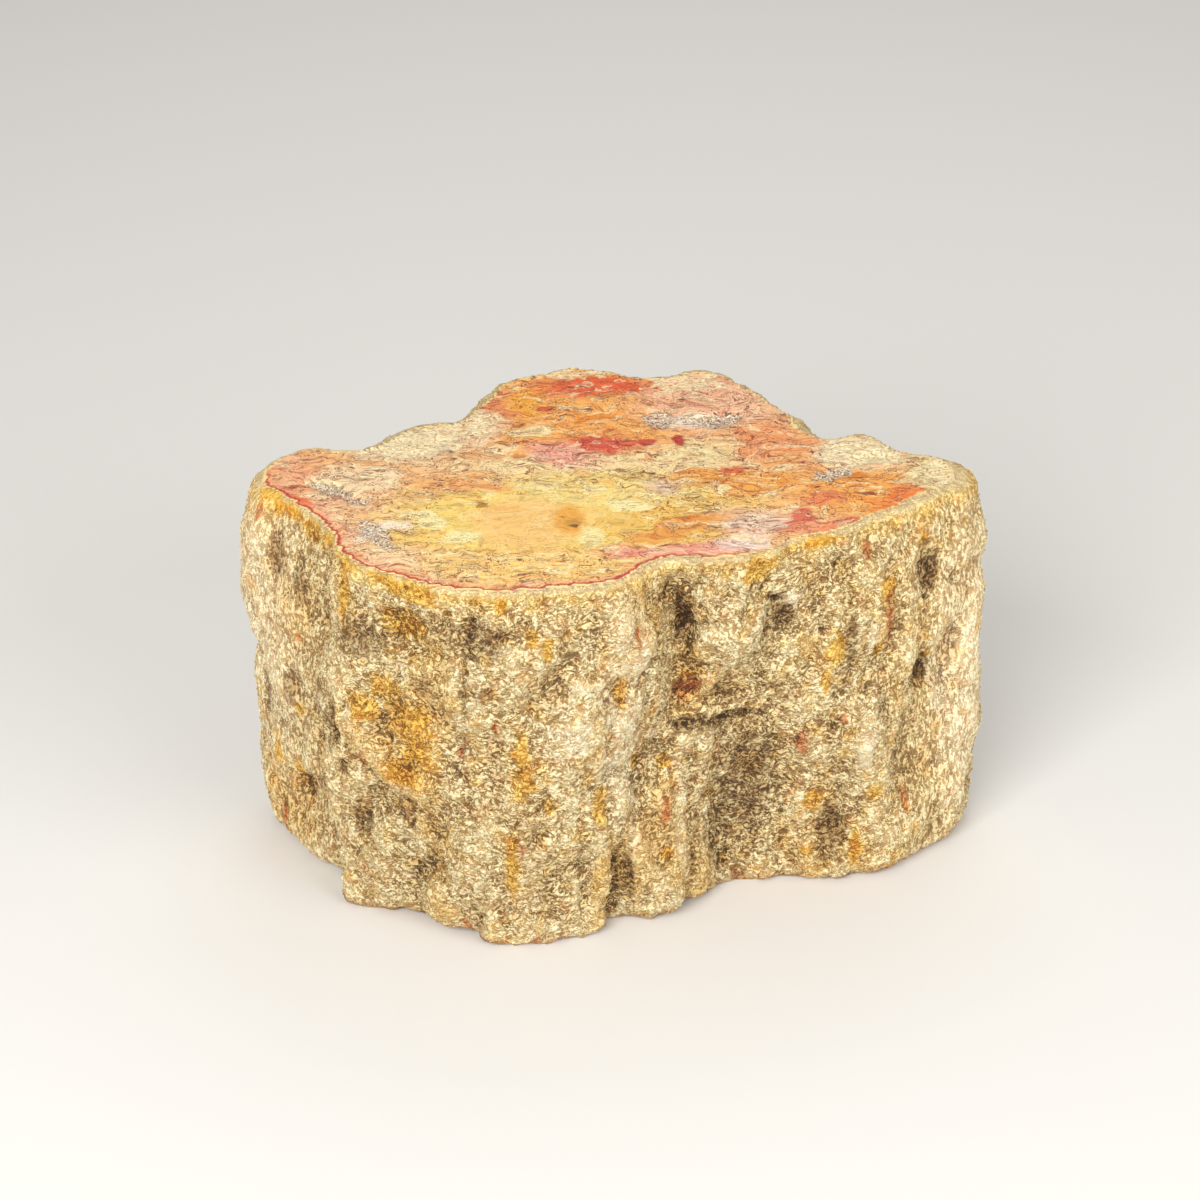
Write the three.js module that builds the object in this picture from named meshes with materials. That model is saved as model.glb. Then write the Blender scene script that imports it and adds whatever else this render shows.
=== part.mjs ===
// A petrified wood stump: a short length of a lobed fossil trunk, turned to stone.
// The top is sawn flat and shows the coloured agate inside. The side is weathered bark
// with hollows, a deep cleft, ribs, knobs and ledges. The foot is cut flat, with a chipped edge.
// It is one stone, so it is one solid. Millimetres, +Z up, the front of the stump towards -Y.

import * as THREE from 'three';

// Driving dimensions
const HEIGHT = 130;
const COLUMNS = 126;
const ROWS = 26;

// How the bark leaves the sawn edge: a high power keeps the wall full until close under the rim.
const SHOULDER_POWER = 9;
const FOOT_POWER = 2;

// Widths of the broken borders between the bark and the two flat cuts.
const RIM_BORDER = 3;
const RIM_BORDER_RAGGED = 0.5;
const RIM_BORDER_PER_DROP = 1.9;
const FOOT_BORDER = 5;
const FOOT_BORDER_PER_LIFT = 1.1;

// Weathering of the bark: size of the relief along the wall, and how far it stands in and out.
const SEED = 7;
const LUMPS = { size: 21, stretch: 1.7, depth: 5.6 };
const NODULES = { size: 10, stretch: 1, depth: 3.4 };
const FLUTES = { size: 8, stretch: 6, depth: 3.2 };
const SCABS = { size: 17, stretch: 1.3, edge: 0.28, depth: 2.2 };
const RIM_CHIPS = { size: 9, depth: 1.1 };
const FOOT_CHIPS = { size: 14, depth: 3.2 };
const WANDER = { size: 5, depth: 0.9 };

// The relief is weaker in a narrow band under the sawn edge: its strength at the edge, and the
// band's share of the height.
const CALM_AT_RIM = 0.35;
const CALM_BAND = 0.17;

// A piece of relief is full to this share of its half width and reach, and fades to nothing at that one.
const RELIEF_FULL = 0.6;
const RELIEF_END = 1.6;

// The sawn edge seen from above, anticlockwise from the left end: x, y, then how far the bark
// stands out at mid height (belly) and at the foot, how far the sawn edge is broken down (drop)
// and how far the foot is chipped up (lift).
const OUTLINE = [
  [-116, 4, 8, 3, 0.8, 2],
  [-112, -6, 7, 2, 0.3, 3],
  [-105, -15, 4, 0, 0, 3],
  [-96, -26, 4, 0, 0, 3],
  [-90, -37, 3, 0, 0, 2],
  [-87, -49, 3, 0, 0, 0],
  [-79, -59, 3, -3, 0, 1],
  [-66, -67, 3, -8, 0, 4],
  [-53, -74, 3, -8, 0, 4],
  [-38, -77, 4, -3, 0, 1],
  [-23, -77, 4, 0, 0, 0],
  [-9, -74, 4, -2, 0, 0],
  [2, -70, 3, -5, 0, 1],
  [11, -60, 0, -6, 0.3, 4],
  [19, -56, -1, -3, 0.3, 5],
  [29, -56, -2, -8, 0.3, 1],
  [38, -54, -3, -16, 0, 1],
  [47, -50, -3, -13, 0, 0],
  [56, -42, 0, -6, 0, 0],
  [66, -37, 3, 0, 0, 0],
  [76, -33, 4, 4, 0.4, 1],
  [86, -26, 5, 8, 0.8, 1],
  [95, -17, 5, 10, 1, 1],
  [105, -9, 6, 8, 1.2, 2],
  [114, -3, 4, 5, 1.6, 2],
  [119, 6, 2, 0, 2.6, 2],
  [116, 15, 4, 0, 3.2, 2],
  [108, 23, 4, 2, 2.8, 3],
  [97, 23, 3, 0, 1, 3],
  [90, 32, 4, 2, 0.6, 2],
  [81, 39, 4, 3, 0.3, 1],
  [72, 33, 2, 1, 0.5, 1],
  [65, 40, 2, -2, 0.5, 2],
  [60, 53, 4, 0, 0.5, 3],
  [51, 69, 5, 2, 0.5, 3],
  [38, 86, 5, 3, 0.5, 2],
  [23, 89, 3, 2, 0.8, 2],
  [12, 84, 1, -2, 0.5, 3],
  [2, 89, 3, 0, 0.3, 2],
  [-14, 93, 5, 4, 0.3, 1],
  [-28, 88, 5, 5, 0.5, 2],
  [-40, 80, 4, 3, 0.8, 3],
  [-47, 65, 2, 1, 1, 3],
  [-52, 50, 1, -2, 1.2, 3],
  [-61, 46, 3, 0, 1.5, 2],
  [-72, 42, 4, 2, 1.8, 2],
  [-81, 31, 2, 0, 1.2, 3],
  [-89, 26, 2, -1, 1, 3],
  [-99, 27, 4, 2, 1, 2],
  [-110, 21, 5, 3, 0.8, 2],
];

// Relief of the side that has a place of its own. `at` is a point on the wall (x, y, z), `wide`
// its half width along the wall, `up` and `down` its reach above and below, `turn` its slant in
// degrees and `out` how far the middle stands out of the bark, or into it where it is negative.
const RELIEF = [
  { name: 'left notch', at: [-121, 4, 70], wide: 12, up: 3, down: 3, turn: 0, out: -2.5 },
  { name: 'left crease', at: [-116, -7, 60], wide: 2.5, up: 14, down: 12, turn: 0, out: -2.5 },
  { name: 'left corner rib', at: [-87, -50, 118], wide: 4, up: 14, down: 14, turn: 0, out: 2 },
  { name: 'left pale ledge', at: [-95, -33, 76], wide: 6, up: 5, down: 2.5, turn: 0, out: 2.5 },
  { name: 'left grey hollow', at: [-92, -38, 67], wide: 5.5, up: 4, down: 10, turn: 0, out: -3.5 },
  { name: 'left foot scoop', at: [-103, -25, 27], wide: 5, up: 6, down: 5, turn: 0, out: -3.5 },
  { name: 'shaded ledge', at: [-78, -61, 114], wide: 6, up: 2.5, down: 5, turn: 0, out: -3 },
  { name: 'brown hollow', at: [-61, -74, 113], wide: 11, up: 7, down: 9, turn: 0, out: -4.5 },
  { name: 'grey scoop', at: [-42, -80, 117], wide: 11, up: 5, down: 8, turn: 0, out: -4 },
  { name: 'ochre scar', at: [-68, -70, 78], wide: 12, up: 15, down: 14, turn: 38, out: -4 },
  { name: 'scar ledge', at: [-78, -62, 68], wide: 4.5, up: 13, down: 13, turn: 45, out: 3 },
  { name: 'scar foot', at: [-64, -71, 62], wide: 7, up: 2.5, down: 3, turn: 0, out: -2.5 },
  { name: 'dark hollow', at: [-82, -62, 44], wide: 4.5, up: 7, down: 8, turn: 0, out: -4 },
  { name: 'slanting pits', at: [-65, -72, 47], wide: 5, up: 3, down: 3, turn: -35, out: -3 },
  { name: 'foot scoop', at: [-60, -74, 27], wide: 5, up: 5, down: 5, turn: 0, out: -3.5 },
  { name: 'front slab', at: [-12, -77, 78], wide: 14, up: 13, down: 16, turn: 0, out: 3 },
  { name: 'front crack', at: [-47, -79, 101], wide: 2, up: 14, down: 14, turn: 0, out: -2 },
  { name: 'leaf scoop', at: [2, -73, 92], wide: 4.5, up: 7, down: 6, turn: -25, out: -4 },
  { name: 'crevice', at: [5, -72, 22], wide: 3.6, up: 12, down: 26, turn: 0, out: -9 },
  { name: 'narrow rib', at: [17, -61, 26], wide: 8, up: 26, down: 30, turn: 0, out: 6 },
  { name: 'cleft top', at: [20, -60, 121], wide: 3.6, up: 6, down: 12, turn: 0, out: -7 },
  { name: 'cleft middle', at: [25, -60, 108], wide: 4, up: 8, down: 9, turn: 0, out: -7 },
  { name: 'cleft knob', at: [30, -60, 112], wide: 4, up: 5, down: 5, turn: 0, out: 4 },
  { name: 'red recess', at: [26, -60, 87], wide: 7, up: 7, down: 7, turn: 0, out: -5 },
  { name: 'dark recess', at: [27, -60, 75], wide: 9, up: 4, down: 4.5, turn: 0, out: -7 },
  { name: 'recess end', at: [41, -57, 78], wide: 5.5, up: 5, down: 5, turn: 0, out: -5 },
  { name: 'smooth ridge', at: [42, -56, 102], wide: 7, up: 12, down: 12, turn: 0, out: 5 },
  { name: 'great hollow', at: [43, -56, 45], wide: 14, up: 28, down: 34, turn: 0, out: -7 },
  { name: 'twin hole top', at: [48, -53, 118], wide: 3.6, up: 5, down: 5, turn: 0, out: -5.5 },
  { name: 'twin hole low', at: [53, -50, 107], wide: 3.6, up: 6, down: 6, turn: 0, out: -6 },
  { name: 'right rib', at: [60, -43, 88], wide: 6, up: 26, down: 24, turn: 0, out: 3 },
  { name: 'rim dimple', at: [69, -40, 120], wide: 3.5, up: 4, down: 4, turn: 0, out: -2.5 },
  { name: 'right shelf', at: [71, -39, 49], wide: 10, up: 6, down: 2.5, turn: 0, out: 2.5 },
  { name: 'shelf hollow', at: [69, -40, 30], wide: 7.5, up: 13, down: 14, turn: 0, out: -3.5 },
  { name: 'pale post', at: [82, -34, 56], wide: 4, up: 12, down: 14, turn: 0, out: 3 },
  { name: 'streak groove', at: [88, -30, 96], wide: 3.5, up: 15, down: 15, turn: 6, out: -2.5 },
  { name: 'right hole top', at: [101, -17, 107], wide: 4.2, up: 8, down: 8, turn: 0, out: -5 },
  { name: 'right hole low', at: [99, -19, 71], wide: 4, up: 8, down: 8, turn: 0, out: -4 },
  { name: 'right waist', at: [122, 8, 101], wide: 16, up: 6, down: 6, turn: 0, out: -3 },
  { name: 'right end rib', at: [119, -2, 62], wide: 6, up: 40, down: 34, turn: 0, out: 2 },
  { name: 'right back groove', at: [98, 24, 66], wide: 6, up: 40, down: 44, turn: 0, out: -5 },
  { name: 'right back knot', at: [84, 40, 84], wide: 9, up: 14, down: 12, turn: 0, out: 5 },
  { name: 'back inner groove', at: [68, 36, 52], wide: 6, up: 50, down: 40, turn: 4, out: -6 },
  { name: 'back hollow', at: [49, 70, 48], wide: 11, up: 20, down: 22, turn: 10, out: -6 },
  { name: 'back ledge', at: [42, 80, 84], wide: 14, up: 9, down: 3, turn: -8, out: 4 },
  { name: 'back split', at: [12, 86, 70], wide: 3.6, up: 52, down: 44, turn: -3, out: -8 },
  { name: 'back left knot', at: [-16, 95, 66], wide: 11, up: 13, down: 13, turn: 0, out: 5 },
  { name: 'knot eye', at: [-16, 96, 66], wide: 4.5, up: 6, down: 6, turn: 0, out: -6 },
  { name: 'back low ledge', at: [-26, 90, 30], wide: 16, up: 8, down: 3, turn: 6, out: 4 },
  { name: 'back corner rib', at: [-42, 80, 70], wide: 5, up: 44, down: 40, turn: 0, out: 3 },
  { name: 'left inner groove', at: [-53, 48, 62], wide: 5.5, up: 48, down: 46, turn: 3, out: -6 },
  { name: 'left back scoop', at: [-72, 41, 44], wide: 9, up: 14, down: 12, turn: -15, out: -5 },
  { name: 'left back rib', at: [-70, 41, 96], wide: 7, up: 18, down: 18, turn: 0, out: 3 },
  { name: 'left lobe groove', at: [-86, 26, 70], wide: 5, up: 44, down: 40, turn: 0, out: -5 },
  { name: 'left end hollow', at: [-113, 18, 40], wide: 8, up: 14, down: 14, turn: 0, out: -3.5 },
];

const mix = (a, b, amount) => a + (b - a) * amount;
const ease = (t) => t * t * (3 - 2 * t);
const clamp01 = (t) => Math.min(1, Math.max(0, t));

// A fixed pseudo-random value from 0 to 1 for each corner of a cubic lattice.
function cornerValue(i, j, k, layer) {
  let bits = Math.imul(i, 374761393) ^ Math.imul(j, 668265263) ^ Math.imul(k, 1274126177);
  bits ^= Math.imul(SEED + layer, 974634777);
  bits = Math.imul(bits ^ (bits >>> 13), 1103515245);
  bits = Math.imul(bits ^ (bits >>> 15), 668265263);
  return ((bits ^ (bits >>> 16)) >>> 0) / 4294967295;
}

// Smooth noise from -1 to 1 at a point given in lattice steps.
function noise(x, y, z, layer) {
  const [i, j, k] = [Math.floor(x), Math.floor(y), Math.floor(z)];
  const [u, v, w] = [ease(x - i), ease(y - j), ease(z - k)];
  let sum = 0;
  for (let corner = 0; corner < 8; corner += 1) {
    const [di, dj, dk] = [corner & 1, (corner >> 1) & 1, corner >> 2];
    const weight = (di ? u : 1 - u) * (dj ? v : 1 - v) * (dk ? w : 1 - w);
    sum += weight * cornerValue(i + di, j + dj, k + dk, layer);
  }
  return 2 * sum - 1;
}

// The columns of the wall, evenly spaced along the sawn edge.
function makeColumns() {
  const points = OUTLINE.map(([x, y]) => new THREE.Vector3(x, y, 0));
  const curve = new THREE.CatmullRomCurve3(points, true, 'centripetal');
  curve.arcLengthDivisions = 2000;
  const spacing = curve.getLength() / COLUMNS;
  const columns = [];
  for (let c = 0; c < COLUMNS; c += 1) {
    const t = curve.getUtoTmapping(c / COLUMNS);
    const place = curve.getPoint(t);
    const tangent = curve.getTangent(t);
    const before = Math.floor(t * OUTLINE.length) % OUTLINE.length;
    const after = (before + 1) % OUTLINE.length;
    const share = ease(t * OUTLINE.length - Math.floor(t * OUTLINE.length));
    const blend = (n) => mix(OUTLINE[before][n], OUTLINE[after][n], share);
    const [belly, foot, drop, lift] = [2, 3, 4, 5].map(blend);
    columns.push({ x: place.x, y: place.y, along: c * spacing, tangent, belly, foot, drop, lift });
  }
  return { columns, length: curve.getLength() };
}

// Outward directions, averaged over neighbouring columns so that tight corners don't fold.
function addOutwardDirections(columns) {
  const reach = 2;
  columns.forEach((column, c) => {
    const sum = new THREE.Vector2();
    for (let step = -reach; step <= reach; step += 1) {
      const { tangent } = columns[(c + step + COLUMNS) % COLUMNS];
      sum.add(new THREE.Vector2(tangent.y, -tangent.x));
    }
    column.outward = sum.normalize();
  });
}

// Each piece of relief sits on the column nearest to its point.
function placeRelief(columns) {
  return RELIEF.map((piece) => {
    const [x, y] = piece.at;
    const distances = columns.map((column) => Math.hypot(column.x - x, column.y - y));
    const nearest = distances.indexOf(Math.min(...distances));
    return { ...piece, along: columns[nearest].along, slant: THREE.MathUtils.degToRad(piece.turn) };
  });
}

function reliefAt(relief, length, along, z) {
  let out = 0;
  for (const piece of relief) {
    let sideways = along - piece.along;
    sideways -= length * Math.round(sideways / length);
    const rise = z - piece.at[2];
    const across = sideways * Math.cos(piece.slant) + rise * Math.sin(piece.slant);
    const upward = rise * Math.cos(piece.slant) - sideways * Math.sin(piece.slant);
    const reach = upward > 0 ? piece.up : piece.down;
    const distance = Math.hypot(across / piece.wide, upward / reach);
    out += piece.out * ease(clamp01((RELIEF_END - distance) / (RELIEF_END - RELIEF_FULL)));
  }
  return out;
}

// Lumps, nodules, upright flutes and raised scabs of the weathered bark.
function weathering(column, z) {
  const { x, y } = column;
  const at = (size, stretch, layer) => noise(x / size, y / size, z / (size * stretch), layer);
  const lumps = LUMPS.depth * at(LUMPS.size, LUMPS.stretch, 1);
  const nodules = NODULES.depth * at(NODULES.size, NODULES.stretch, 2);
  const flutes = FLUTES.depth * at(FLUTES.size, FLUTES.stretch, 3);
  const scab = clamp01(0.5 + at(SCABS.size, SCABS.stretch, 4) / SCABS.edge);
  return (lumps + nodules + flutes) / 2 + SCABS.depth * (ease(scab) - 0.5);
}

function wallPoint(column, row, relief, length) {
  const t = row / ROWS;
  const [x, y] = [column.x, column.y];
  const chipUp = FOOT_CHIPS.depth * Math.max(0, noise(x / FOOT_CHIPS.size, y / FOOT_CHIPS.size, 0, 5));
  const chipDown = RIM_CHIPS.depth * Math.max(0, noise(x / RIM_CHIPS.size, y / RIM_CHIPS.size, 0, 6));
  const foot = column.lift + chipUp;
  const rim = HEIGHT - column.drop - chipDown;
  const wander = row > 0 && row < ROWS ? WANDER.depth : 0;
  const z = mix(foot, rim, t) + wander * noise(x / WANDER.size, y / WANDER.size, row * 1.5, 7);
  const swell = mix(column.belly, column.foot, (1 - t) ** FOOT_POWER) * (1 - t ** SHOULDER_POWER);
  const strength = mix(CALM_AT_RIM, 1, clamp01((1 - t) / CALM_BAND));
  const out = swell + strength * (weathering(column, z) + reliefAt(relief, length, column.along, z));
  return new THREE.Vector3(x + out * column.outward.x, y + out * column.outward.y, z);
}

// A ring of the border between the wall's last ring and a flat cut: `share` is 0 on the wall's
// ring and 1 where the cut begins.
function borderRing(columns, ring, level, widthOf, share) {
  return ring.map((point, c) => {
    const { outward } = columns[c];
    const inward = widthOf(columns[c]) * share;
    const z = mix(point.z, level, Math.sqrt(share));
    return new THREE.Vector3(point.x - inward * outward.x, point.y - inward * outward.y, z);
  });
}

function makeRings() {
  const { columns, length } = makeColumns();
  addOutwardDirections(columns);
  const relief = placeRelief(columns);
  const wall = [];
  for (let row = 0; row <= ROWS; row += 1) {
    wall.push(columns.map((column) => wallPoint(column, row, relief, length)));
  }
  const footWidth = ({ lift }) => FOOT_BORDER + FOOT_BORDER_PER_LIFT * lift;
  const ragged = ({ x, y }) => 1 + RIM_BORDER_RAGGED * noise(x / RIM_CHIPS.size, y / RIM_CHIPS.size, 0, 8);
  const rimWidth = (column) => ragged(column) * (RIM_BORDER + RIM_BORDER_PER_DROP * column.drop);
  const foot = [1, 0.5].map((share) => borderRing(columns, wall[0], 0, footWidth, share));
  const rim = [0.45, 1].map((share) => borderRing(columns, wall[ROWS], HEIGHT, rimWidth, share));
  return [...foot, ...wall, ...rim];
}

// Two triangles for each cell between neighbouring rings, split along the shorter diagonal.
function wallTriangles(rings) {
  const triangles = [];
  for (let r = 0; r + 1 < rings.length; r += 1) {
    for (let c = 0; c < COLUMNS; c += 1) {
      const next = (c + 1) % COLUMNS;
      const [a, b] = [r * COLUMNS + c, r * COLUMNS + next];
      const [d, e] = [(r + 1) * COLUMNS + c, (r + 1) * COLUMNS + next];
      const rising = rings[r][c].distanceTo(rings[r + 1][next]);
      const falling = rings[r][next].distanceTo(rings[r + 1][c]);
      if (rising < falling) {
        triangles.push([a, b, e], [a, e, d]);
      } else {
        triangles.push([a, b, d], [b, e, d]);
      }
    }
  }
  return triangles;
}

// The flat cuts: the innermost ring of each end, filled with triangles in its plane.
function cutTriangles(ring, firstIndex, facesUp) {
  const contour = ring.map((point) => new THREE.Vector2(point.x, point.y));
  return THREE.ShapeUtils.triangulateShape(contour, []).map((corners) => {
    const [a, b, c] = corners.map((corner) => firstIndex + corner);
    const [p, q, r] = corners.map((corner) => contour[corner]);
    const isUp = (q.x - p.x) * (r.y - p.y) - (q.y - p.y) * (r.x - p.x) > 0;
    return isUp === facesUp ? [a, b, c] : [a, c, b];
  });
}

function makeStump() {
  const rings = makeRings();
  const points = rings.flat();
  const lastRing = rings.length - 1;
  const triangles = [
    ...wallTriangles(rings),
    ...cutTriangles(rings[0], 0, false),
    ...cutTriangles(rings[lastRing], lastRing * COLUMNS, true),
  ];
  const geometry = new THREE.BufferGeometry();
  const coordinates = points.flatMap((point) => point.toArray());
  geometry.setAttribute('position', new THREE.Float32BufferAttribute(coordinates, 3));
  geometry.setIndex(triangles.flat());
  geometry.computeVertexNormals();
  geometry.computeBoundingBox();
  const middle = geometry.boundingBox.getCenter(new THREE.Vector3());

  const stone = new THREE.MeshStandardMaterial({ color: 0xb9a273, roughness: 0.9, metalness: 0 });
  const stump = new THREE.Mesh(geometry, stone);
  stump.name = 'petrified_stump';
  stump.position.set(-middle.x, -middle.y, 0);
  return stump;
}

const group = new THREE.Group();
group.add(makeStump());

export default group;
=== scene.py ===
# A petrified wood stump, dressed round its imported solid: weathered bark with crumbs and pits, and a
# flat sawn top that shows the coloured agate inside. Metres in Blender; the lists below are in mm.
import math

import bmesh
import bpy
import numpy as np
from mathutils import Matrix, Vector, noise
from mathutils.kdtree import KDTree


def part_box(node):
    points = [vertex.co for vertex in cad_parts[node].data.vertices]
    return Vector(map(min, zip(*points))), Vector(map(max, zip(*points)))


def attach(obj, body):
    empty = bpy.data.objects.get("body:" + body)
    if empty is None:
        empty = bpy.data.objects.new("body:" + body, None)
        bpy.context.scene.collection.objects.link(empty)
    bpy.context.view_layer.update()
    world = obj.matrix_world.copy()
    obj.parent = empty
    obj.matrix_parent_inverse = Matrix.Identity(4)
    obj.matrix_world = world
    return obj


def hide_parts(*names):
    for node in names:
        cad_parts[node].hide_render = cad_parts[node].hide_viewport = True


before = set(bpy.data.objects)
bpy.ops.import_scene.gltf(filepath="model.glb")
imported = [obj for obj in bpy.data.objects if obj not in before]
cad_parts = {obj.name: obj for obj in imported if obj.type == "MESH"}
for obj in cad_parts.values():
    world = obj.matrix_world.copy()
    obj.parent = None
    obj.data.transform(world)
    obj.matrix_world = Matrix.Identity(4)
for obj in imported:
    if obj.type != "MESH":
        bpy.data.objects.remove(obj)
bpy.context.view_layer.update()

NODE = "petrified_stump"
MM = 0.001
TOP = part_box(NODE)[1].z / MM

# Camera, at the photograph's angle
EYE = (-0.0054, -0.8838, 0.5511)
LOOKS_DOWN = 28
LENS = 90

# Studio: each soft box's name, place and size in metres and power in watts, then floor and room
SOFT_BOXES = (
    ("key", (-0.5, -1.2, 0.85), 0.8, 20),
    ("fill", (0.95, -0.95, 0.6), 0.9, 10),
    ("back", (0.1, 0.9, 1.1), 0.9, 3),
)
FLOOR_REACH = 6
FLOOR_COLOUR = "e6e4e0"
ROOM_COLOUR = "f4f2ee"
ROOM_LIGHT = 0.5

# The solid's facets are joined within this many metres and rounded by so many levels of subdivision
JOIN_DISTANCE = 1e-6
ROUNDING_LEVELS = 2

# The stone's surface: size of its faces, rounds of smoothing that take the steps off the bark, and
# the angle in degrees from which an edge stays sharp
FACE_SIZE = 1.28
SMOOTHING_ROUNDS = 3
SHARP_EDGE = 55

# A facet is level, or a vertex is on a cut, from this upright share of its normal, and a vertex only
# within this many mm of the cut's height
LEVEL_FACET = 0.999
LEVEL_VERTEX = 0.8
SAWN_TOLERANCE = 0.35

# Weathering of the bark, from broad to fine: size, stretch upwards, depth, offset of the pattern.
# Scabs meet in sharp creases: how steeply they rise and how deep the creases lie, as shares of the
# depth. Waves are soft both ways.
SCABS = (
    (18, 1.4, 1.6, 0),
    (9, 1.2, 0.55, 50),
    (4.4, 1.1, 0.4, 90),
)
SCAB_RISE = 2.6
SCAB_SINK = 0.6
WAVES = (
    (6.5, 5.0, 0.8, 20),
    (3.4, 1.0, 0.6, 60),
    (2.3, 0.9, 0.65, 140),
)

# The weathering is weaker at the cuts and at both ends of the stump: its share at a cut, the height
# of that band, what it loses at the ends, and where along the stump that starts and is full
CALM_SHARE = 0.3
CALM_BAND = 3.0
CALM_AT_ENDS = 0.4
ENDS_START = 88
ENDS_FULL = 108

# How far the bark stands out of its surroundings sets its tone, paler on the crests and darker in the
# hollows: partly dirt, partly painted light and painted shade.
# Rounds of averaging for the near and the wide surroundings, and the height from which a crest gets no paler
FINE_ROUNDS = 6
BROAD_ROUNDS = 60
PALEST_CREST = 1.2

# Outlines on the bark are uneven: size, strength in half sizes of the spot, offset of the pattern
UNEVEN_OUTLINES = (
    (5, 0.35, 30),
    (2.2, 0.3, 12),
)

# A listed relief is full to this many half sizes from its middle and ends at that many
RELIEF_FULL = 0.55
RELIEF_END = 1.3

# Relief of the bark, listed one by one: what it is, its middle, half width, half height, how far it stands
# out
BARK_RELIEF = (
    ("crack", (-106, -33, 101), 4.8, 1.3, -1.2),
    ("crack", (-93, -48, 100), 1.6, 4.9, -1.1),
    ("crack", (-100, -40, 83), 1.3, 4.2, -1.0),
    ("crease", (-116, -14, 54), 1.6, 10.8, -1.1),
    ("notch", (-120, -9, 67), 2.0, 2.3, -1.6),
    ("ledge", (-95, -57, 76), 3.8, 2.4, 1.6),
    ("hollow", (-91, -63, 70), 4.8, 5.5, -1.4),
    ("scoop", (-103, -29, 24), 4.3, 6.0, -1.4),
    ("pit", (-87, -65, 57), 1.9, 1.9, -1.5),
    ("pit", (-86, -69, 80), 1.9, 1.9, -1.4),
    ("pit", (-69, -73, 43), 1.8, 2.4, -1.6),
    ("pit", (-65, -74, 40), 1.8, 2.4, -1.5),
    ("scoop", (-64, -73, 19), 4.0, 4.7, -1.5),
    ("ledge", (-57, -79, 36), 3.7, 1.6, 1.4),
    ("hollow", (-82, -66, 37), 3.5, 6.8, -1.2),
    ("crack", (-23, -85, 13), 4.7, 1.2, -1.2),
    ("crack", (-47, -88, 99), 1.2, 13.8, -1.2),
    ("crack", (-37, -92, 90), 4.2, 1.2, -1.2),
    ("slab", (-14, -89, 84), 8.0, 11.0, 0.9),
    ("ledge", (-9, -86, 97), 6.3, 1.6, 1.3),
    ("scoop", (2, -80, 91), 3.9, 5.4, -1.7),
    ("crack", (7, -80, 111), 1.2, 6.8, -0.9),
    ("groove", (19, -59, 112), 1.7, 9.0, -1.3),
    ("nodule", (25, -61, 109), 2.3, 3.0, 1.6),
    ("nodule", (30, -64, 104), 2.7, 4.0, 1.6),
    ("groove", (23, -60, 98), 1.5, 6.0, -1.2),
    ("hollow", (23, -60, 80), 4.6, 6.0, -1.3),
    ("hollow", (24, -61, 69), 7.0, 2.6, -1.8),
    ("crease", (34, -55, 67), 9.0, 1.8, -1.5),
    ("hollow", (43, -51, 66), 4.6, 3.6, -1.2),
    ("nodule", (42, -50, 64), 2.0, 2.0, 2.0),
    ("hollow", (49, -52, 111), 4.0, 2.2, -1.1),
    ("hollow", (53, -52, 104), 2.8, 4.6, -1.1),
    ("block", (54, -52, 110), 2.6, 2.4, 1.4),
    ("crevice", (4, -73, 19), 2.0, 10.0, -1.4),
    ("hollow", (101, -24, 105), 2.8, 7.0, -1.0),
    ("hollow", (99, -24, 69), 2.2, 7.0, -0.9),
    ("pit", (65, -52, 99), 1.6, 2.5, -1.4),
    ("pit", (79, -46, 104), 1.4, 2.3, -1.2),
    ("pit", (69, -46, 119), 1.7, 1.7, -1.2),
    ("rib", (81, -46, 92), 1.4, 5.0, 1.3),
    ("ledge", (72, -47, 40), 9.0, 1.6, 1.4),
    ("hollow", (71, -46, 19), 6.0, 9.0, -1.0),
    ("rib", (81, -51, 53), 2.4, 9.0, 1.2),
    ("scoop", (-41, -88, 116), 10.0, 3.6, -1.0),
    ("scoop", (-65, -75, 112), 9.0, 6.0, -0.9),
    ("flute", (110, -17, 79), 1.4, 26.0, -0.9),
    ("flute", (92, -38, 36), 1.4, 28.0, -0.9),
    ("flute", (106, -26, 31), 1.4, 26.0, -0.9),
)

# A stain, or a grey patch of painted shade, has faded out at this many half sizes
STAIN_AND_SHADE_END = 1.6
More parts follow.
